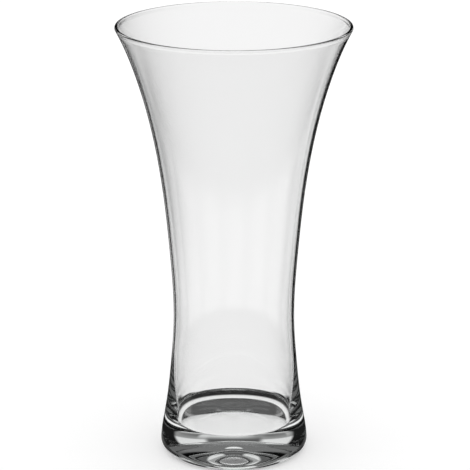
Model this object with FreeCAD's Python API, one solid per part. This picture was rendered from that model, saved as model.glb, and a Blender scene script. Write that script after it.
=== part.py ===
"""Clear glass trumpet vase with a thick foot, a drawn-in waist and a wide flared mouth.

The glass is one fused body. It is built here as the masses that the glassworker makes in
turn: the heavy base, the wall blown up from it, parted at the waist, and the round lip.
The origin is the centre of the standing ring on the table, and +Z is the vase's axis.
"""
import FreeCAD, Part
import math
import os

os.makedirs("parts", exist_ok=True)

# Driving sizes of the outside, in millimetres and degrees
overall_height = 300.0
lip_radius = 79.2
lip_lean_angle = 27.7
waist_height = 98.0
waist_radius = 41.5
foot_radius = 50.9
foot_corner_radius = 7.6
foot_lean_angle = 4.4

# Glass thickness: the blown wall thins from the waist to the lip, and is gathered at the base
wall_thickness = 2.2
lip_wall_thickness = 1.4
lip_bead_radius = 1.25
lip_swell_height = 2.2
gather_top_height = 75.0
gather_thickness = 6.45
gather_power = 2.3

# Inside floor, which dips a little to its middle
base_seam_height = 25.4
floor_height = 21.9
floor_dip = 0.9
floor_dip_radius = 10.1

# Underside: a hollow punt inside the flat ring that the vase stands on
punt_radius = 40.8
punt_depth = 7.4

# Outline of the flank: each point's height as a share of the way from the table to the
# waist, and how far its radius goes from the waist's to the foot's
flank_height_shares = (0.306, 0.633)
flank_radius_shares = (0.64, 0.228)

# Outline of the trumpet: height as a share of the way from the waist to the lip, and how
# far its radius goes from the waist's to the lip's
trumpet_height_shares = (0.208, 0.431, 0.644, 0.832)
trumpet_radius_shares = (0.056, 0.176, 0.37, 0.644)

# Handles of the curve that turns the inner wall into the floor, as shares of its two legs
turn_wall_share = 0.65
turn_floor_share = 0.475

# Middle poles of the punt's and the floor's curves, as shares of their radius
punt_crown_share = 0.36
floor_dip_share = 0.5

# How many spans the inner curve of each stretch of wall is carried over
lower_spans = 8
upper_spans = 12
lip_spans = 6


def point(radius, height):
    """A point of the section, on the XZ plane."""
    return FreeCAD.Vector(radius, 0, height)


def leaning(angle):
    """Unit vector that climbs along the section and leans out by an angle in degrees."""
    return point(math.sin(math.radians(angle)), math.cos(math.radians(angle)))


def inward_of(direction):
    """The direction square to a climbing one, towards the axis."""
    return point(-direction.z, direction.x)


def foot_corner_centre():
    return point(foot_radius - foot_corner_radius, foot_corner_radius)


def foot_corner_end():
    """Where the rounded foot corner hands over to the flank."""
    outward = -inward_of(leaning(-foot_lean_angle))
    return foot_corner_centre() + outward * foot_corner_radius


def lip_centre():
    return point(lip_radius - lip_bead_radius, overall_height - lip_bead_radius)


def lip_seam(side):
    """End of the bead's diameter across the wall: side +1 outside, -1 inside."""
    outward = -inward_of(leaning(lip_lean_angle))
    return lip_centre() + outward * (side * lip_bead_radius)


def outer_outline():
    """One smooth curve from the foot corner through the waist to the lip."""
    points = [foot_corner_end()]
    for height_share, radius_share in zip(flank_height_shares, flank_radius_shares):
        radius = waist_radius + radius_share * (foot_radius - waist_radius)
        points.append(point(radius, height_share * waist_height))
    points.append(point(waist_radius, waist_height))
    for height_share, radius_share in zip(trumpet_height_shares, trumpet_radius_shares):
        radius = waist_radius + radius_share * (lip_radius - waist_radius)
        height = waist_height + height_share * (overall_height - waist_height)
        points.append(point(radius, height))
    points.append(lip_seam(1))
    curve = Part.BSplineCurve()
    curve.interpolate(
        Points=points,
        InitialTangent=leaning(-foot_lean_angle),
        FinalTangent=leaning(lip_lean_angle),
    )
    return curve


def bead_seam_height():
    """Height on the outside where the wall starts to swell into the lip."""
    return lip_seam(1).z - lip_swell_height


def thickness_at(height):
    """Wall thickness at an outside height: gathered at the base, thinning up, swelling at the lip."""
    thickness = wall_thickness
    if height < gather_top_height:
        depth_share = (gather_top_height - height) / (gather_top_height - base_seam_height)
        thickness += (gather_thickness - wall_thickness) * depth_share**gather_power
    if height > waist_height:
        climb_share = (height - waist_height) / (lip_seam(1).z - waist_height)
        thickness += (lip_wall_thickness - wall_thickness) * climb_share
    if height > bead_seam_height():
        swell_share = (height - bead_seam_height()) / lip_swell_height
        smooth_share = swell_share**2 * (3 - 2 * swell_share)
        thickness += (2 * lip_bead_radius - lip_wall_thickness) * smooth_share
    return thickness


def parameter_at(outline, height):
    """Parameter of the outline at a height."""
    level = Part.Line(point(0, height), point(lip_radius, height))
    crossing = outline.intersect(level)[0]
    return outline.parameter(FreeCAD.Vector(crossing.X, crossing.Y, crossing.Z))


def inner_point(outline, parameter):
    """The inside of the wall, its thickness away square to the outside."""
    outside = outline.value(parameter)
    inward = inward_of(outline.tangent(parameter)[0])
    return outside + inward * thickness_at(outside.z)


def inner_curve(outline, start, end, spans):
    """Curve of the inner wall between two parameters of the outline."""
    step = (end - start) / spans
    points = [inner_point(outline, start + step * k) for k in range(spans + 1)]
    curve = Part.BSplineCurve()
    curve.interpolate(Points=points)
    return curve


def revolved(edges):
    """Solid of revolution about the vase's axis of a closed section."""
    face = Part.Face(Part.Wire(edges))
    return face.revolve(FreeCAD.Vector(0, 0, 0), FreeCAD.Vector(0, 0, 1), 360)


def straight(start, end):
    return Part.LineSegment(start, end).toShape()


def bezier(*poles):
    curve = Part.BezierCurve()
    curve.setPoles(list(poles))
    return curve.toShape()


def dome(radius, edge_height, rise, crown_share):
    """Half of a shallow dome from its edge to its level crown on the axis."""
    top = edge_height + rise
    return bezier(point(radius, edge_height), point(radius * crown_share, top), point(0, top))


def heavy_base(outline, seam, inner):
    """Thick foot: standing ring, punt, rounded corner, and the inside floor and its turn."""
    corner_start = point(foot_radius - foot_corner_radius, 0)
    corner_middle = foot_corner_centre() + leaning(135) * foot_corner_radius
    corner = Part.Arc(corner_start, corner_middle, foot_corner_end())
    inner_seam = inner.StartPoint
    floor_edge = point(floor_dip_radius, floor_height + floor_dip)
    down_wall = -inner.tangent(inner.FirstParameter)[0]
    wall_handle = down_wall * (turn_wall_share * (inner_seam.z - floor_edge.z))
    floor_slope = point(floor_dip_radius, 2 * floor_dip).normalize()
    floor_handle = floor_slope * (turn_floor_share * (inner_seam.x - floor_edge.x))
    return revolved([
        dome(punt_radius, 0, punt_depth, punt_crown_share),
        straight(point(punt_radius, 0), corner_start),
        corner.toShape(),
        outline.toShape(outline.FirstParameter, seam),
        straight(outline.value(seam), inner_seam),
        bezier(inner_seam, inner_seam + wall_handle, floor_edge + floor_handle, floor_edge),
        dome(floor_dip_radius, floor_edge.z, -floor_dip, floor_dip_share),
        straight(point(0, floor_height), point(0, punt_depth)),
    ])


def wall_ring(outline, start, end, inner):
    """Stretch of the wall between two parameters of the outline."""
    return revolved([
        outline.toShape(start, end),
        straight(outline.value(end), inner.EndPoint),
        inner.toShape(),
        straight(inner.StartPoint, outline.value(start)),
    ])


def rim_bead(outline, start, inner):
    """Fire-polished lip: the wall swells into a bead with a round crown."""
    crown = lip_centre() + leaning(lip_lean_angle) * lip_bead_radius
    return revolved([
        outline.toShape(start, outline.LastParameter),
        Part.Arc(lip_seam(1), crown, lip_seam(-1)).toShape(),
        inner.toShape(),
        straight(inner.StartPoint, outline.value(start)),
    ])


def main():
    outline = outer_outline()
    base_seam = parameter_at(outline, base_seam_height)
    waist = parameter_at(outline, waist_height)
    bead_seam = parameter_at(outline, bead_seam_height())
    lower_inner = inner_curve(outline, base_seam, waist, lower_spans)
    upper_inner = inner_curve(outline, waist, bead_seam, upper_spans)
    lip_inner = inner_curve(outline, bead_seam, outline.LastParameter, lip_spans)
    nodes = {
        "heavy_base": heavy_base(outline, base_seam, lower_inner),
        "tapered_wall": wall_ring(outline, base_seam, waist, lower_inner),
        "flared_wall": wall_ring(outline, waist, bead_seam, upper_inner),
        "rim_bead": rim_bead(outline, bead_seam, lip_inner),
    }
    for name, solid in nodes.items():
        solid.exportStep(os.path.join("parts", name + ".step"))
        print(name, solid.isValid(), round(solid.Volume), solid.BoundBox)


main()
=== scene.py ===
"""Looks of a clear glass trumpet vase: the blown glass body, and the white studio that it stands in."""
import math

import bpy
import numpy as np
from bpy.props import FloatProperty, FloatVectorProperty, PointerProperty
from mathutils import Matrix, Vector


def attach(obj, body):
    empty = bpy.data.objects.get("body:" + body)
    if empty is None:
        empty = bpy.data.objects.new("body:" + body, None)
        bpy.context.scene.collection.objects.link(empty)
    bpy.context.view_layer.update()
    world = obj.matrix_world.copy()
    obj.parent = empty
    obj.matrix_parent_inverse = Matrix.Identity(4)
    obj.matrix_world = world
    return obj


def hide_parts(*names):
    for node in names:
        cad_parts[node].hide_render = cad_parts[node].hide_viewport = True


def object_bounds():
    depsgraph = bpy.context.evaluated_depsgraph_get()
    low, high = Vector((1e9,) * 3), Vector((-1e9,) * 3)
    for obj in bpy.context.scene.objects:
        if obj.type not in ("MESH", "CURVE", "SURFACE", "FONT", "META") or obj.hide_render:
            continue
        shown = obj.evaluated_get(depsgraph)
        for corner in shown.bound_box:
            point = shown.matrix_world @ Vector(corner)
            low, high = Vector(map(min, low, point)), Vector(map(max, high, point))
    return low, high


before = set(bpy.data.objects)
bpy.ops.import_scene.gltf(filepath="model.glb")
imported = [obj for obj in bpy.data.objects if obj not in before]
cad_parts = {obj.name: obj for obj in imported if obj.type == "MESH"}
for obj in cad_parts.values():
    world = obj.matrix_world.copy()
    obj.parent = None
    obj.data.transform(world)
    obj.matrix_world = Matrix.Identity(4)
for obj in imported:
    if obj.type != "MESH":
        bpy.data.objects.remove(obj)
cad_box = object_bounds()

bl_info = {
    "name": "Trumpet vase",
    "version": (1, 0, 0),
    "blender": (4, 5, 0),
    "location": "3D View > Sidebar > Vase",
    "description": "Makes a clear glass trumpet vase and its white studio",
    "category": "Add Mesh",
}

MM = 0.001

# What the glass body stands for, and the sizes that come from the frame's box
GLASS_NODES = ("heavy_base", "tapered_wall", "flared_wall", "rim_bead")
LIP_RADIUS = min(cad_box[1][0], cad_box[1][1])
VASE_HEIGHT = cad_box[1][2]

# Points of the outline between its sizes, as shares of the way from the waist to the foot or the lip
FLANK_HEIGHT_SHARES = (0.306, 0.633)
FLANK_RADIUS_SHARES = (0.64, 0.228)
TRUMPET_HEIGHT_SHARES = (0.208, 0.431, 0.644, 0.832)
TRUMPET_RADIUS_SHARES = (0.056, 0.176, 0.37, 0.644)

# Handles of the turn from the inner wall to the floor, and middle pole of the punt's curve
TURN_WALL_SHARE = 0.65
TURN_FLOOR_SHARE = 0.475
PUNT_CROWN_SHARE = 0.36

# How finely the section's curves are drawn, and the points round the axis. Together they keep
# the body under 200,000 triangles.
PUNT_POINTS = 33
RING_POINTS = 7
CORNER_STEPS = 20
OUTER_POINTS = 130
BEAD_STEPS = 20
SWELL_POINTS = 16
INNER_POINTS = 120
TURN_STEPS = 40
FLOOR_POINTS = 12
POINTS_ROUND = 248

# Nodes that the studio's light is worked out with, and their settings. Sockets 0, 2 and 3 of
# a Mix node of floats are its share and its two numbers.
MATH = "ShaderNodeMath"
STEP = "ShaderNodeMapRange"
MIX = "ShaderNodeMix"
SMOOTH = {"interpolation_type": "SMOOTHSTEP"}
TIMES = {"operation": "MULTIPLY"}
MINUS = {"operation": "SUBTRACT"}
LARGER = {"operation": "MAXIMUM"}
SIZE_OF = {"operation": "ABSOLUTE"}
FOLDED = {"operation": "WRAP"}
BEARING = {"operation": "ARCTAN2"}
FLOATS = {"data_type": "FLOAT"}

# Light that was reflected and stayed in one wall, or in the foot, was bent twice: going in and
# coming out. Light that crossed the vase's hollow was bent more often. The limits lie half-way
# between whole counts.
FEWEST_REFLECTIONS = 0.5
MOST_BENDS_IN_WALL = 2.5


def radians(*degrees):
    """Angles in degrees to a tuple of radians."""
    return tuple(math.radians(each) for each in degrees)


# Soft edges of the studio, each from its start to its end. Heights are above the horizon, and
# bearings go from straight behind the vase, positive to the right in the camera's view.
HAZE_HEIGHT = radians(-21, -18)
WIDE_STRIP_HEIGHT = radians(-20, -16)
WALL_STRIP_LEFT = radians(5, 10)
WALL_STRIP_RIGHT = radians(28, 33)
WALL_STRIP_TOP = radians(-14, -10)
STRIPS_FADE = radians(50, 80)
STEEP_HEIGHT = radians(-30, -24)
STEEP_START = radians(40, 60)
FRONT_START = radians(42, 54)
BACK_END = radians(26, 38)
UPPER_FRONT_START = radians(60, 100)

# Where the haze starts beside the middle of a gap, and half the width of the windows' soft edges:
# the near side and the foot, and the far side and the top
HAZE_START = math.radians(3)
WINDOW_INNER_SOFT = math.radians(2)
WINDOW_OUTER_SOFT = math.radians(3)

# Half the side of the floor, in metres
FLOOR_REACH = 6.0

# The disc of painted shadow that the glass sees on the floor: how round it is, how high it lies, half the
# width of its soft edges, and the lobes of its lighter part
SHADOW_DISC_SIDES = 96
SHADOW_DISC_LIFT = 0.05 * MM
SHADOW_SOFT = 1.5 * MM
PUNT_SOFT = 1.0 * MM
LOBE_SPACING = math.radians(90)
LOBE_EDGE = radians(22, 32)

# Width of the camera's sensor in millimetres, and how often light may be bent and mirrored
SENSOR_WIDTH = 36.0
GLASS_BOUNCES = 24
MIRROR_BOUNCES = 16


def to_linear(hex_colour):
    """sRGB hex to linear RGB with alpha."""
    channels = [int(hex_colour[k:k + 2], 16) / 255 for k in (1, 3, 5)]
    return [c / 12.92 if c <= 0.04045 else ((c + 0.055) / 1.055) ** 2.4 for c in channels] + [1.0]


def length(name, description, millimetres):
    """A length property, whose default is written in millimetres."""
    return FloatProperty(name=name, description=description, default=millimetres * MM, unit="LENGTH")


def angle(name, description, degrees):
    """An angle property, whose default is written in degrees."""
    return FloatProperty(name=name, description=description, default=math.radians(degrees), subtype="ANGLE")


def level(name, description, default):
    """A brightness or a share from 0 to 1."""
    return FloatProperty(name=name, description=description, default=default, min=0.0, max=1.0,
                         subtype="FACTOR")


class VaseSizes(bpy.types.PropertyGroup):
    """Sizes of the glass body that the frame's box doesn't give."""
    lip_lean: angle("Lip lean", "How far the wall leans out at the lip", 27.7)
    waist_height: length("Waist height", "Height of the narrowest place", 98.0)
    waist_radius: length("Waist radius", "Outer radius at the narrowest place", 41.5)
    foot_radius: length("Foot radius", "Outer radius of the foot", 50.9)
    foot_corner: length("Foot corner", "Radius of the rounded bottom corner", 7.6)
    foot_lean: angle("Foot lean", "How far the flank leans in above the corner", 4.4)
    wall: length("Wall", "Thickness of the blown wall up to the waist", 2.2)
    lip_wall: length("Lip wall", "Thickness that the wall thins to below the lip", 1.4)
    lip_bead: length("Lip bead", "Radius of the fire-polished bead", 1.25)
    lip_swell: length("Lip swell", "Height over which the wall thickens into the bead", 2.2)
    gather_top: length("Gather top", "Height where the wall starts to thicken towards the base", 75.0)
    gather_wall: length("Gather wall", "Wall thickness at the base seam", 6.45)
    gather_power: FloatProperty(name="Gather power", description="How suddenly the wall thickens there",
                                default=2.3)
    seam_height: length("Base seam height", "Outside height where the floor's turn meets the wall", 25.4)
    floor_height: length("Floor height", "Height of the inside floor at its middle", 21.9)
    floor_dip: length("Floor dip", "Depth of the dip in the floor's middle", 0.9)
    floor_dip_radius: length("Floor dip radius", "Radius of the floor's dip, where its turn starts", 10.1)
    punt_radius: length("Punt radius", "Radius of the hollow under the foot", 40.8)
    punt_depth: length("Punt depth", "Depth of the hollow under the foot", 7.4)


class VaseGlass(bpy.types.PropertyGroup):
    """Optics of the glass, and the slow waves in its surface."""
    ior: FloatProperty(name="IOR", description="Index of refraction of soda-lime glass", default=1.52)
    tint: FloatVectorProperty(name="Tint", description="Colour that thick glass gives to light", size=4,
                              default=to_linear("#dce2e0"), subtype="COLOR", min=0.0, max=1.0)
    tint_density: FloatProperty(name="Tint density", description="Strength of the tint per metre",
                                default=4.0)
    ripple_height: length("Ripple height", "Height of the blown wall's slow waves", 0.006)
    ripple_spacing: length("Ripple spacing", "Distance between the slow waves", 16.0)


class VaseStudio(bpy.types.PropertyGroup):
    """The floor, what the glass sees round it in each direction, and the camera."""
    backdrop: FloatVectorProperty(name="Backdrop", description="Colour of the floor and the backdrop",
                                  default=(1.0, 1.0, 1.0), subtype="COLOR", min=0.0, max=1.0)
    backlight: level("Backlight", "Level of the backdrop that the glass shows, where 1 is white", 1.0)
    floor_white: level("Floor white", "Share of the light that the floor gives back", 0.75)
    floor_lift: level("Floor lift", "Level added to the floor in the camera's view", 0.34)

    strip_spacing: angle("Strip spacing", "Angle from one dark strip on the backdrop to the next", 45.0)
    strip_edge: angle("Strip edge", "Angle from the middle of a gap to the edge of a strip", 14.5)
    strip_dark: angle("Strip dark", "Angle from the middle of a gap to where a strip is dark", 17.5)
    wide_edge: angle("Wide strip edge", "Edge of the strip on a gap's left, higher up", 0.5)
    wide_dark: angle("Wide strip dark", "Where the strip on a gap's left is dark, higher up", 18.0)
    left_haze: level("Left haze", "How far the left of a gap darkens to its strip, low down", 0.06)
    right_haze: level("Right haze", "How far the right of a gap darkens to its strip, low down", 0.2)
    strip_depth: level("Strip depth", "How dark the strips behind the vase are", 1.0)
    far_strip_depth: level("Far strip depth", "How dark the strips beside the vase and in front are", 0.25)

    upper_back: level("Upper back", "Level of the upper room behind the vase", 0.12)
    upper_side: level("Upper side", "Level of the upper room beside the vase", 0.01)
    upper_front: level("Upper front", "Level of the upper room in front of the vase", 0.03)
    front_level: level("Front level", "Level that the outside of the glass mirrors", 0.01)
    window_level: level("Window level", "Level of the two windows behind the vase", 0.85)
    window_near: angle("Window near", "Bearing where a window starts", 11.0)
    window_far: angle("Window far", "Bearing where a window ends", 36.0)
    window_low: angle("Window low", "Height of a window's foot above the horizon", 19.0)
    window_high: angle("Window high", "Height of a window's top above the horizon", 34.0)
    window_fade: level("Window fade", "Share of a window that goes on above its top", 0.4)
    window_haze: level("Window haze", "Share of a window that goes on below its foot", 0.35)
    horizon: angle("Horizon", "Height where the upper room starts, for reflected light", -8.0)
    horizon_top: angle("Horizon top", "Height where the backdrop ends, for reflected light", -2.0)
    horizon_back: angle("Horizon back", "The same behind the vase, for light that stays in the wall", 22.0)
    sky_low: angle("Sky low", "Height where the upper room starts, for unreflected light", 12.0)
    sky_high: angle("Sky high", "Height where the backdrop ends, for unreflected light", 24.0)

    # The dark ring round the foot is a painted shadow that only the glass sees. The punt shade is painted
    # shade in the punt's corner, and the glow is a lighter part of the painted shadow.
    shade_inner: length("Shade inner", "Inner radius of the dark ring round the foot", 46.0)
    shade_outer: length("Shade outer", "Outer radius of the dark ring round the foot", 73.0)
    shade_soft: length("Shade soft", "Half the width of the dark ring's soft outer edge", 3.0)
    shade_level: level("Shade level", "Level of the dark ring", 0.01)
    punt_inner: length("Punt shade inner", "Inner radius of the shade round the inside of the punt", 35.5)
    punt_shade: level("Punt shade", "How far it darkens the white, for light that stays in the foot", 0.85)
    glow_inner: length("Glow inner", "Inner radius of the lighter part of the dark ring", 53.0)
    glow_outer: length("Glow outer", "Outer radius of the lighter part of the dark ring", 66.0)
    glow_level: level("Glow level", "Level of the lighter part of the dark ring", 0.2)

    camera_distance: length("Camera distance", "Level distance of the camera from the vase", 1481.2)
    camera_height: length("Camera height", "Height of the camera", 615.0)
    target_height: length("Target height", "Height on the vase's axis at which the camera looks", 154.06)
    focal_length: FloatProperty(name="Focal length", description="Focal length on a 36 mm sensor, in mm",
                                default=174.3, unit="CAMERA")
    shift: FloatProperty(name="Shift", description="Sideways shift of the view, in picture widths",
                         default=0.0023)


def add_node(tree, kind, settings=None, inputs=()):
    """Adds a node with its own settings, and sets or links its inputs.

    The inputs are numbers, sockets, or nodes, which stand for their first output. They are given
    in the order of the node's sockets, or in a dictionary by their names or places.
    """
    node = tree.nodes.new(kind)
    for name, value in (settings or {}).items():
        setattr(node, name, value)
    placed = inputs if isinstance(inputs, dict) else dict(enumerate(inputs))
    for place, value in placed.items():
        source = value.outputs[0] if isinstance(value, bpy.types.Node) else value
        if isinstance(source, bpy.types.NodeSocket):
            tree.links.new(source, node.inputs[place])
        else:
            node.inputs[place].default_value = source
    return node


def spline_slopes(x, y, first, last):
    """Slopes at the knots of the smoothest cubic curve through them, with both end slopes given.

    At each inner knot the curve's bend is the same from both sides, which gives one equation
    for that knot's slope and its two neighbours'.
    """
    gap = np.diff(x)
    rise = np.diff(y) / gap
    size = len(x)
    matrix = np.eye(size)
    right = np.array([first] + [0.0] * (size - 2) + [last])
    inner = np.arange(1, size - 1)
    matrix[inner, inner - 1] = 1 / gap[:-1]
    matrix[inner, inner] = 2 / gap[:-1] + 2 / gap[1:]
    matrix[inner, inner + 1] = 1 / gap[1:]
    right[inner] = 3 * (rise[:-1] / gap[:-1] + rise[1:] / gap[1:])
    return np.linalg.solve(matrix, right)


def on_spline(x, y, slopes, at):
    """Value and slope, at the places asked for, of the cubic with those knots and slopes.

    Between two knots the value is the straight line's, plus t times 1 - t times a bend that
    goes evenly from one knot's to the other's, where t goes from 0 to 1.
    """
    k = np.clip(np.searchsorted(x, at) - 1, 0, len(x) - 2)
    gap = x[k + 1] - x[k]
    t = (at - x[k]) / gap
    rise = y[k + 1] - y[k]
    bend_a = gap * slopes[k] - rise
    bend_b = rise - gap * slopes[k + 1]
    bend = bend_a * (1 - t) + bend_b * t
    value = y[k] + t * rise + t * (1 - t) * bend
    slope = (rise + (1 - 2 * t) * bend + t * (1 - t) * (bend_b - bend_a)) / gap
    return value, slope


def arc(centre, radius, start, end, steps):
    """Points on a circle's arc between two angles, in radians from outwards to up."""
    turn = np.linspace(start, end, steps + 1)
    return np.stack([centre[0] + radius * np.cos(turn), centre[1] + radius * np.sin(turn)], axis=1)


def curve_between(start, start_handle, end_handle, end, steps):
    """Cubic curve with four poles: the weighted sum of the poles by the powers of t and 1 - t."""
    t = np.linspace(0, 1, steps + 1)[:, None]
    u = 1 - t
    return u**3 * start + 3 * u**2 * t * start_handle + 3 * u * t**2 * end_handle + t**3 * end


def hollow_punt(sizes):
    """Hollow under the foot, from its crown on the axis to the standing ring.

    It is a curve with three poles: their sum, weighted by the squares of 1 - t and t and by
    twice their product.
    """
    t = np.linspace(0, 1, PUNT_POINTS)[:, None]
    crown = np.array([0, sizes.punt_depth])
    middle_pole = np.array([sizes.punt_radius * PUNT_CROWN_SHARE, sizes.punt_depth])
    edge = np.array([sizes.punt_radius, 0])
    return (1 - t) ** 2 * crown + 2 * t * (1 - t) * middle_pole + t**2 * edge


def outer_outline(sizes, corner_end, bead_start):
    """Outside of the glass as a smooth curve: the heights, radii and slopes of its knots.

    The knots go from the foot's corner by shares of the way to the waist, and from there by
    shares of the way to the lip.
    """
    to_foot = sizes.foot_radius - sizes.waist_radius
    to_lip = LIP_RADIUS - sizes.waist_radius
    climb = VASE_HEIGHT - sizes.waist_height
    heights = np.array(
        [corner_end[1]]
        + [share * sizes.waist_height for share in FLANK_HEIGHT_SHARES]
        + [sizes.waist_height]
        + [sizes.waist_height + share * climb for share in TRUMPET_HEIGHT_SHARES]
        + [bead_start[1]]
    )
    radii = np.array(
        [corner_end[0]]
        + [sizes.waist_radius + share * to_foot for share in FLANK_RADIUS_SHARES]
        + [sizes.waist_radius]
        + [sizes.waist_radius + share * to_lip for share in TRUMPET_RADIUS_SHARES]
        + [bead_start[0]]
    )
    slopes = spline_slopes(heights, radii, -math.tan(sizes.foot_lean), math.tan(sizes.lip_lean))
    return heights, radii, slopes


def wall_thickness(sizes, heights, top):
    """Thickness of the wall at heights on its outside, up to the bead's start at top.

    It thins evenly from the waist up. Below gather_top it grows by a power of the depth, and
    over lip_swell it grows by a smooth step to the bead's width.
    """
    thinning = np.clip((heights - sizes.waist_height) / (top - sizes.waist_height), 0, 1)
    gathered = np.clip((sizes.gather_top - heights) / (sizes.gather_top - sizes.seam_height), 0, None)
    swell = np.clip((heights - top + sizes.lip_swell) / sizes.lip_swell, 0, 1)
    plain = sizes.wall + (sizes.lip_wall - sizes.wall) * thinning
    return (plain + (sizes.gather_wall - sizes.wall) * gathered**sizes.gather_power
            + (2 * sizes.lip_bead - sizes.lip_wall) * swell**2 * (3 - 2 * swell))


def inner_wall(sizes, outline):
    """Inside of the wall, from the bead down to the base seam.

    Each point lies the wall's thickness away from a point of the outside, square to it.
    """
    top = outline[0][-1]
    swell_heights = np.linspace(top, top - sizes.lip_swell, SWELL_POINTS)
    wall_heights = np.linspace(swell_heights[-1], sizes.seam_height, INNER_POINTS)
    heights = np.concatenate([swell_heights, wall_heights[1:]])
    radii, slopes = on_spline(*outline, heights)
    thickness = wall_thickness(sizes, heights, top)
    stretch = np.sqrt(1 + slopes**2)
    return np.stack([radii - thickness / stretch, heights + thickness * slopes / stretch], axis=1)


def inside_floor(sizes, wall):
    """Inside floor, from the end of the inner wall to the axis.

    Its turn is a curve with four poles, which starts down the wall and ends level with the
    dip's slope. In the dip the height grows by the square of the radius.
    """
    edge = np.array([sizes.floor_dip_radius, sizes.floor_height + sizes.floor_dip])
    down_wall = (wall[-1] - wall[-2]) / np.linalg.norm(wall[-1] - wall[-2])
    out_floor = np.array([sizes.floor_dip_radius, 2 * sizes.floor_dip])
    out_floor /= np.linalg.norm(out_floor)
    turn = curve_between(
        wall[-1],
        wall[-1] + down_wall * TURN_WALL_SHARE * (wall[-1][1] - edge[1]),
        edge + out_floor * TURN_FLOOR_SHARE * (wall[-1][0] - edge[0]),
        edge,
        TURN_STEPS,
    )
    radii = np.linspace(sizes.floor_dip_radius, 0, FLOOR_POINTS)
    heights = sizes.floor_height + sizes.floor_dip * (radii / sizes.floor_dip_radius) ** 2
    return np.concatenate([turn, np.stack([radii, heights], axis=1)[1:]])


def glass_section(sizes):
    """Section of the glass as (radius, height) points, from the punt's crown to the floor's middle."""
    punt = hollow_punt(sizes)
    corner_centre = np.array([sizes.foot_radius - sizes.foot_corner, sizes.foot_corner])
    corner = arc(corner_centre, sizes.foot_corner, -math.pi / 2, sizes.foot_lean, CORNER_STEPS)
    ring = np.linspace(punt[-1], corner[0], RING_POINTS)
    bead_centre = np.array([LIP_RADIUS - sizes.lip_bead, VASE_HEIGHT - sizes.lip_bead])
    bead = arc(bead_centre, sizes.lip_bead, -sizes.lip_lean, math.pi - sizes.lip_lean, BEAD_STEPS)
    outline = outer_outline(sizes, corner[-1], bead[0])
    outer_heights = np.linspace(corner[-1][1], bead[0][1], OUTER_POINTS)
    outer = np.stack([on_spline(*outline, outer_heights)[0], outer_heights], axis=1)
    inner = inner_wall(sizes, outline)
    floor = inside_floor(sizes, inner)
    return np.concatenate([punt, ring[1:], corner[1:], outer[1:], bead[1:], inner[1:], floor[1:]])


def turned_mesh(name, section, around):
    """Closed surface of revolution, with a pole at each end of the section.

    A section point goes round the Z axis at its height: x and y are its radius times the
    cosine and sine of the angle.
    """
    rings = section[1:-1]
    turn = np.arange(around) * (2 * math.pi / around)
    grid = np.stack([
        rings[:, :1] * np.cos(turn)[None, :],
        rings[:, :1] * np.sin(turn)[None, :],
        np.repeat(rings[:, 1:], around, axis=1),
    ], axis=2)
    verts = np.concatenate([[[0, 0, section[0][1]]], grid.reshape(-1, 3), [[0, 0, section[-1][1]]]])
    index = 1 + np.arange(len(rings) * around).reshape(len(rings), around)
    following = np.roll(index, -1, axis=1)
    quads = np.stack([index[:-1], following[:-1], following[1:], index[1:]], axis=2).reshape(-1, 4)
    bottom = np.stack([np.zeros(around, int), following[0], index[0]], axis=1)
    top = np.stack([index[-1], following[-1], np.full(around, len(verts) - 1)], axis=1)
    mesh = bpy.data.meshes.new(name)
    mesh.from_pydata(verts.tolist(), [], quads.tolist() + bottom.tolist() + top.tolist())
    mesh.shade_smooth()
    return mesh


def new_material(name):
    """An empty node material, and its tree."""
    material = bpy.data.materials.new(name)
    material.use_nodes = True
    material.node_tree.nodes.clear()
    return material, material.node_tree


def clear_glass(glass):
    """Soda-lime glass, mouth blown and fire polished."""
    # The eye sees it by what it bends and mirrors: black and white lines where the wall turns
    # away, rings in the thick foot, a trace of grey green where it is thickest, a sharp shine
    # with no haze, and lines that waver a little over the slow waves that blowing leaves.
    material, tree = new_material("soda_lime_glass_blown")
    place = add_node(tree, "ShaderNodeTexCoord")
    waves = add_node(tree, "ShaderNodeTexNoise", inputs={
        "Vector": place.outputs["Object"], "Scale": 1 / glass.ripple_spacing, "Detail": 1.0})
    bump = add_node(tree, "ShaderNodeBump", inputs={
        "Strength": 1.0, "Distance": glass.ripple_height, "Height": waves.outputs["Fac"]})
    shader = add_node(tree, "ShaderNodeBsdfPrincipled", inputs={
        "Base Color": to_linear("#ffffff"), "Roughness": 0.0, "IOR": glass.ior,
        "Transmission Weight": 1.0, "Normal": bump})
    body = add_node(tree, "ShaderNodeVolumeAbsorption", inputs={
        "Color": glass.tint, "Density": glass.tint_density})
    add_node(tree, "ShaderNodeOutputMaterial", inputs={"Surface": shader, "Volume": body})
    return material


def light_history(tree, path):
    """Two switches, 0 or 1: light that was reflected, and light that was reflected inside one wall."""
    reflected = add_node(tree, MATH, {"operation": "GREATER_THAN"},
                         (path.outputs["Glossy Depth"], FEWEST_REFLECTIONS))
    bent_little = add_node(tree, MATH, {"operation": "LESS_THAN"},
                           (path.outputs["Transmission Depth"], MOST_BENDS_IN_WALL))
    in_wall = add_node(tree, MATH, TIMES, (bent_little, reflected))
    return reflected, in_wall


def floor_paper(studio):
    """Matt white paper under the vase, which is lifted to white in the camera's view."""
    # It has no shine, so the eye sees one even white with only the foot's soft shadow on it.
    material, tree = new_material("white_floor")
    path = add_node(tree, "ShaderNodeLightPath")
    matt = add_node(tree, "ShaderNodeBsdfDiffuse", inputs={
        "Color": (studio.floor_white, studio.floor_white, studio.floor_white, 1.0)})
    lift = add_node(tree, MATH, TIMES, (path.outputs["Is Camera Ray"], studio.floor_lift))
    glow = add_node(tree, "ShaderNodeEmission", inputs={
        "Color": (*studio.backdrop, 1.0), "Strength": lift})
    both = add_node(tree, "ShaderNodeAddShader", inputs=(matt, glow))
    add_node(tree, "ShaderNodeOutputMaterial", inputs={"Surface": both})
    return material


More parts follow.
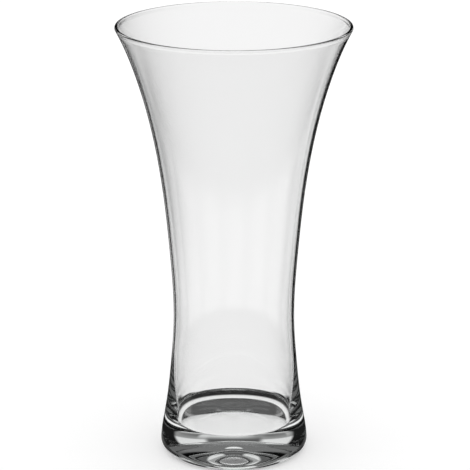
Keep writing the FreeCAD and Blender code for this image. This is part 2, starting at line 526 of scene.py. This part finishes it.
def painted_foot_shadow(studio):
    """What the glass sees of the table, painted on a disc: its white under the foot, and a painted shadow
    of the foot in a dark ring round it.

    The level falls from the backdrop's to the ring's at shade_inner, and is lower beyond
    punt_inner for light that stays in the foot, as painted shade in the punt's corner. Four lobes,
    along X and Y, raise it by glow_level between glow_inner and glow_outer, a lighter part of the
    painted shadow, and beyond that they are open. The disc ends softly at shade_outer, and
    reflected light that crossed the hollow doesn't see it.
    """
    material, tree = new_material("painted_shadow_ring")
    place = add_node(tree, "ShaderNodeTexCoord")
    path = add_node(tree, "ShaderNodeLightPath")
    reflected, in_foot = light_history(tree, path)
    from_axis = add_node(tree, "ShaderNodeVectorMath", {"operation": "LENGTH"}, (place.outputs["Object"],))
    radius = from_axis.outputs["Value"]

    ring_start = (studio.shade_inner - SHADOW_SOFT, studio.shade_inner + SHADOW_SOFT)
    # Painted shadow: the white under the foot falls to the dark ring at shade_inner
    plain = add_node(tree, STEP, SMOOTH, (radius, *ring_start, studio.backlight, studio.shade_level))
    punt_start = (studio.punt_inner - PUNT_SOFT, studio.punt_inner + PUNT_SOFT)
    # Painted shade in the punt's corner, for light that stays in the foot
    beyond_punt = add_node(tree, STEP, SMOOTH, (radius, *punt_start, 0.0, studio.punt_shade))
    dimmed = add_node(tree, MATH, TIMES, (in_foot, beyond_punt))
    undimmed = add_node(tree, MATH, MINUS, (1.0, dimmed))
    painted_shadow = add_node(tree, MATH, TIMES, (plain, undimmed))

    spot = add_node(tree, "ShaderNodeSeparateXYZ", inputs=(place.outputs["Object"],))
    bearing = add_node(tree, MATH, BEARING, (spot.outputs["X"], spot.outputs["Y"]))
    from_lobe = add_node(tree, MATH, FOLDED, (bearing, LOBE_SPACING / 2, -LOBE_SPACING / 2))
    beside_lobe = add_node(tree, MATH, SIZE_OF, (from_lobe,))
    lobe = add_node(tree, STEP, SMOOTH, (beside_lobe, *LOBE_EDGE, 1.0, 0.0))

    # The lobes are a lighter part of the painted shadow
    glow_start = (studio.glow_inner - SHADOW_SOFT, studio.glow_inner + SHADOW_SOFT)
    glow_end = (studio.glow_outer - SHADOW_SOFT, studio.glow_outer + SHADOW_SOFT)
    rising = add_node(tree, STEP, SMOOTH, (radius, *glow_start, 0.0, 1.0))
    falling = add_node(tree, STEP, SMOOTH, (radius, *glow_end, studio.glow_level, 0.0))
    lobe_rising = add_node(tree, MATH, TIMES, (rising, lobe))
    glowing = add_node(tree, MATH, {"operation": "MULTIPLY_ADD"}, (lobe_rising, falling, painted_shadow))

    shadow_end = (studio.shade_outer - studio.shade_soft, studio.shade_outer + studio.shade_soft)
    whole = add_node(tree, STEP, SMOOTH, (radius, *shadow_end, 1.0, 0.0))
    beyond_glow = add_node(tree, STEP, SMOOTH, (radius, *glow_end, 0.0, 1.0))
    opening = add_node(tree, MATH, TIMES, (beyond_glow, lobe))
    closed = add_node(tree, MATH, MINUS, (1.0, opening))
    pierced = add_node(tree, MATH, TIMES, (whole, closed))
    across = add_node(tree, MATH, MINUS, (reflected, in_foot))
    seen = add_node(tree, MATH, MINUS, (1.0, across))
    cover = add_node(tree, MATH, TIMES, (pierced, seen))

    clear = add_node(tree, "ShaderNodeBsdfTransparent")
    # This emission paints the foot's shadow on the table for the glass alone
    glow = add_node(tree, "ShaderNodeEmission", inputs={
        "Color": (*studio.backdrop, 1.0), "Strength": glowing})
    both = add_node(tree, "ShaderNodeMixShader", inputs=(cover, clear, glow))
    add_node(tree, "ShaderNodeOutputMaterial", inputs={"Surface": both})
    return material


def dark_strips(tree, studio, bearing, rise, in_wall):
    """How far the backdrop is covered by its dark strips, from 0 to 1.

    The bearing is folded to one gap and the halves of the strips beside it. Low down both
    strips are narrow, with a haze towards them. Higher up the one on the left is wide and
    soft. Light that stays in the wall also sees a broad strip on the right, up to
    WALL_STRIP_TOP.
    """
    half_spacing = studio.strip_spacing / 2
    in_gap = add_node(tree, MATH, FOLDED, (bearing, half_spacing, -half_spacing))
    wide = add_node(tree, STEP, SMOOTH, (in_gap, -studio.wide_dark, -studio.wide_edge, 1.0, 0.0))
    narrow = add_node(tree, STEP, SMOOTH, (in_gap, -studio.strip_dark, -studio.strip_edge, 1.0, 0.0))
    left_haze = add_node(tree, STEP, SMOOTH,
                         (in_gap, -studio.strip_edge, -HAZE_START, studio.left_haze, 0.0))
    low_left = add_node(tree, MATH, LARGER, (narrow, left_haze))
    higher = add_node(tree, STEP, SMOOTH, (rise, *WIDE_STRIP_HEIGHT, 0.0, 1.0))
    left = add_node(tree, MIX, FLOATS, {0: higher, 2: low_left, 3: wide})

    right_strip = add_node(tree, STEP, SMOOTH, (in_gap, studio.strip_edge, studio.strip_dark, 0.0, 1.0))
    right_haze = add_node(tree, STEP, SMOOTH,
                          (in_gap, HAZE_START, studio.strip_edge, 0.0, studio.right_haze))
    low_down = add_node(tree, STEP, SMOOTH, (rise, *HAZE_HEIGHT, 1.0, 0.0))
    low_right_haze = add_node(tree, MATH, TIMES, (right_haze, low_down))
    right = add_node(tree, MATH, LARGER, (right_strip, low_right_haze))

    broad_start = add_node(tree, STEP, SMOOTH, (bearing, *WALL_STRIP_LEFT, 0.0, 1.0))
    broad_end = add_node(tree, STEP, SMOOTH, (bearing, *WALL_STRIP_RIGHT, 1.0, 0.0))
    broad_width = add_node(tree, MATH, TIMES, (broad_start, broad_end))
    broad_height = add_node(tree, STEP, SMOOTH, (rise, *WALL_STRIP_TOP, 1.0, 0.0))
    broad = add_node(tree, MATH, TIMES, (broad_width, broad_height))
    wall_strip = add_node(tree, MATH, TIMES, (broad, in_wall))

    sides = add_node(tree, MATH, LARGER, (left, right))
    return add_node(tree, MATH, LARGER, (sides, wall_strip))


def lower_studio(tree, studio, aside, rise, strips, reflected, in_wall):
    """Level of the backdrop, which reaches from the table up to the horizon.

    It is the backlight less its strips, which are fainter beside the vase and in front. For
    reflected light it is dark steeply down to the sides and the front, and for light that
    stayed in the wall it is dark from FRONT_START on.
    """
    depth = add_node(tree, STEP, SMOOTH, (aside, *STRIPS_FADE, studio.strip_depth, studio.far_strip_depth))
    covered = add_node(tree, MATH, TIMES, (strips, depth))
    uncovered = add_node(tree, MATH, MINUS, (1.0, covered))
    steep_height = add_node(tree, STEP, SMOOTH, (rise, *STEEP_HEIGHT, 1.0, 0.0))
    steep_aside = add_node(tree, STEP, SMOOTH, (aside, *STEEP_START, 0.0, studio.backlight))
    steep = add_node(tree, MATH, TIMES, (steep_height, steep_aside))
    front = add_node(tree, STEP, SMOOTH, (aside, *FRONT_START, 0.0, studio.backlight))
    front_in_wall = add_node(tree, MATH, TIMES, (in_wall, front))
    dark = add_node(tree, MATH, LARGER, (steep, front_in_wall))
    lost = add_node(tree, MATH, TIMES, (dark, reflected))
    kept = add_node(tree, MATH, MINUS, (studio.backlight, lost))
    return add_node(tree, MATH, TIMES, (uncovered, kept))


def upper_studio(tree, studio, aside, rise):
    """Level of the dark upper room, with a window on each side behind the vase.

    The windows go from window_near to window_far and from window_low to window_high, and
    fade into the room round them.
    """
    near = (studio.window_near - WINDOW_INNER_SOFT, studio.window_near + WINDOW_INNER_SOFT)
    far = (studio.window_far - WINDOW_OUTER_SOFT, studio.window_far + WINDOW_OUTER_SOFT)
    low = (studio.window_low - WINDOW_INNER_SOFT, studio.window_low + WINDOW_INNER_SOFT)
    high = (studio.window_high - WINDOW_OUTER_SOFT, studio.window_high + WINDOW_OUTER_SOFT)
    back = add_node(tree, STEP, SMOOTH, (aside, *BACK_END, studio.upper_back, studio.upper_side))
    front = add_node(tree, STEP, SMOOTH,
                     (aside, *UPPER_FRONT_START, 0.0, studio.upper_front - studio.upper_side))
    room = add_node(tree, MATH, {"operation": "ADD"}, (back, front))
    window_start = add_node(tree, STEP, SMOOTH, (aside, *near, 0.0, 1.0))
    window_end = add_node(tree, STEP, SMOOTH, (aside, *far, 1.0, 0.0))
    width = add_node(tree, MATH, TIMES, (window_start, window_end))
    window_foot = add_node(tree, STEP, SMOOTH, (rise, *low, studio.window_haze, 1.0))
    window_top = add_node(tree, STEP, SMOOTH, (rise, *high, 1.0, studio.window_fade))
    height = add_node(tree, MATH, TIMES, (window_foot, window_top))
    window = add_node(tree, MATH, TIMES, (width, height))
    return add_node(tree, MIX, FLOATS, {0: window, 2: room, 3: studio.window_level})


def upper_share(tree, studio, aside, rise, reflected, in_wall):
    """How far the upper room takes over from the backdrop, from 0 to 1, by the height.

    For reflected light it takes over at the horizon, but slowly where that light stayed in
    the wall and goes out behind the vase. For unreflected light it takes over far higher.
    """
    behind = add_node(tree, STEP, SMOOTH, (aside, *BACK_END, 1.0, 0.0))
    behind_in_wall = add_node(tree, MATH, TIMES, (in_wall, behind))
    quickly = add_node(tree, STEP, SMOOTH, (rise, studio.horizon, studio.horizon_top, 0.0, 1.0))
    slowly = add_node(tree, STEP, SMOOTH, (rise, studio.horizon, studio.horizon_back, 0.0, 1.0))
    if_reflected = add_node(tree, MIX, FLOATS, {0: behind_in_wall, 2: quickly, 3: slowly})
    if_passing = add_node(tree, STEP, SMOOTH, (rise, studio.sky_low, studio.sky_high, 0.0, 1.0))
    return add_node(tree, MIX, FLOATS, {0: reflected, 2: if_passing, 3: if_reflected})


class VASE_OT_glass_body(bpy.types.Operator):
    """Blows the glass body as one closed surface, which stands for all the glass nodes"""
    bl_idname = "vase.glass_body"
    bl_label = "Glass body"

    def execute(self, context):
        section = glass_section(context.scene.vase_sizes)
        mesh = turned_mesh("vase_glass", section, POINTS_ROUND)
        body = bpy.data.objects.new("vase_glass", mesh)
        context.collection.objects.link(body)
        mesh.materials.append(clear_glass(context.scene.vase_glass))
        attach(body, "root")
        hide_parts(*GLASS_NODES)
        return {"FINISHED"}


class VASE_OT_studio(bpy.types.Operator):
    """Lays the white floor, lights the studio and sets the camera"""
    bl_idname = "vase.studio"
    bl_label = "Studio"

    def execute(self, context):
        studio = context.scene.vase_studio
        self.floor(context, studio)
        self.painted_shadow(context, studio)
        self.world(context, studio)
        self.camera(context, studio)
        return {"FINISHED"}

    def floor(self, context, studio):
        """A square of floor, which the glass doesn't see: it sees the painted shadow disc and the world
        instead.
        """
        corners = [(x * FLOOR_REACH, y * FLOOR_REACH, 0) for x, y in ((-1, -1), (1, -1), (1, 1), (-1, 1))]
        mesh = bpy.data.meshes.new("floor")
        mesh.from_pydata(corners, [], [(0, 1, 2, 3)])
        mesh.materials.append(floor_paper(studio))
        floor = bpy.data.objects.new("floor", mesh)
        context.collection.objects.link(floor)
        floor.visible_transmission = False
        floor.visible_glossy = False

    def painted_shadow(self, context, studio):
        """A round disc of painted shadow just above the floor, which only the glass sees."""
        turn = np.arange(SHADOW_DISC_SIDES) * (2 * math.pi / SHADOW_DISC_SIDES)
        reach = studio.shade_outer + studio.shade_soft
        lift = np.full(SHADOW_DISC_SIDES, SHADOW_DISC_LIFT)
        verts = np.stack([reach * np.cos(turn), reach * np.sin(turn), lift], axis=1)
        mesh = bpy.data.meshes.new("foot_shade")
        mesh.from_pydata(verts.tolist(), [], [tuple(range(SHADOW_DISC_SIDES))])
        mesh.materials.append(painted_foot_shadow(studio))
        disc = bpy.data.objects.new("foot_shade", mesh)
        context.collection.objects.link(disc)
        disc.visible_camera = False
        disc.visible_diffuse = False
        disc.visible_shadow = False

    def world(self, context, studio):
        """A world that is plain white but in the glass, which sees the studio's levels by direction.

        A mirror image on the outside of the glass is the dark front of the room.
        """
        world = bpy.data.worlds.new("studio")
        context.scene.world = world
        world.use_nodes = True
        tree = world.node_tree
        tree.nodes.clear()
        path = add_node(tree, "ShaderNodeLightPath")
        reflected, in_wall = light_history(tree, path)
        place = add_node(tree, "ShaderNodeTexCoord")
        way = add_node(tree, "ShaderNodeSeparateXYZ", inputs=(place.outputs["Generated"],))
        bearing = add_node(tree, MATH, BEARING, (way.outputs["X"], way.outputs["Y"]))
        aside = add_node(tree, MATH, SIZE_OF, (bearing,))
        rise = add_node(tree, MATH, {"operation": "ARCSINE"}, (way.outputs["Z"],))
        strips = dark_strips(tree, studio, bearing, rise, in_wall)
        below = lower_studio(tree, studio, aside, rise, strips, reflected, in_wall)
        above = upper_studio(tree, studio, aside, rise)
        share = upper_share(tree, studio, aside, rise, reflected, in_wall)
        through = add_node(tree, MIX, FLOATS, {0: share, 2: below, 3: above})
        in_glass = add_node(tree, MIX, FLOATS, {
            0: path.outputs["Is Transmission Ray"], 2: studio.front_level, 3: through})
        by_glass = add_node(tree, MATH, LARGER,
                            (path.outputs["Is Glossy Ray"], path.outputs["Is Transmission Ray"]))
        strength = add_node(tree, MIX, FLOATS, {0: by_glass, 2: 1.0, 3: in_glass})
        light = add_node(tree, "ShaderNodeBackground", inputs={
            "Color": (*studio.backdrop, 1.0), "Strength": strength})
        add_node(tree, "ShaderNodeOutputWorld", inputs={"Surface": light})

    def camera(self, context, studio):
        """The camera, tilted down to the vase, and enough bounces to see through the thick foot."""
        data = bpy.data.cameras.new("camera")
        data.sensor_width = SENSOR_WIDTH
        data.lens = studio.focal_length
        data.shift_x = studio.shift
        camera = bpy.data.objects.new("camera", data)
        context.collection.objects.link(camera)
        camera.location = (0, -studio.camera_distance, studio.camera_height)
        drop = math.atan2(studio.camera_height - studio.target_height, studio.camera_distance)
        camera.rotation_euler = (math.pi / 2 - drop, 0, 0)
        context.scene.camera = camera
        context.scene.view_settings.view_transform = "Standard"
        context.scene.cycles.max_bounces = GLASS_BOUNCES
        context.scene.cycles.transmission_bounces = GLASS_BOUNCES
        context.scene.cycles.glossy_bounces = MIRROR_BOUNCES


class VASE_PT_panel(bpy.types.Panel):
    """Lists the vase's operators and sizes"""
    bl_idname = "VASE_PT_panel"
    bl_label = "Trumpet vase"
    bl_space_type = "VIEW_3D"
    bl_region_type = "UI"
    bl_category = "Vase"

    def draw(self, context):
        for operator in OPERATORS:
            self.layout.operator(operator.bl_idname)
        for group in (context.scene.vase_sizes, context.scene.vase_glass, context.scene.vase_studio):
            box = self.layout.box()
            for name in group.bl_rna.properties.keys():
                if name not in ("rna_type", "name"):
                    box.prop(group, name)


GROUPS = (VaseSizes, VaseGlass, VaseStudio)
OPERATORS = (VASE_OT_glass_body, VASE_OT_studio)
CLASSES = GROUPS + OPERATORS + (VASE_PT_panel,)


def register():
    for each in CLASSES:
        bpy.utils.register_class(each)
    bpy.types.Scene.vase_sizes = PointerProperty(type=VaseSizes)
    bpy.types.Scene.vase_glass = PointerProperty(type=VaseGlass)
    bpy.types.Scene.vase_studio = PointerProperty(type=VaseStudio)


def unregister():
    for name in ("vase_sizes", "vase_glass", "vase_studio"):
        delattr(bpy.types.Scene, name)
    for each in reversed(CLASSES):
        bpy.utils.unregister_class(each)


def main():
    register()
    bpy.ops.vase.glass_body()
    bpy.ops.vase.studio()


if __name__ == "__main__":
    main()
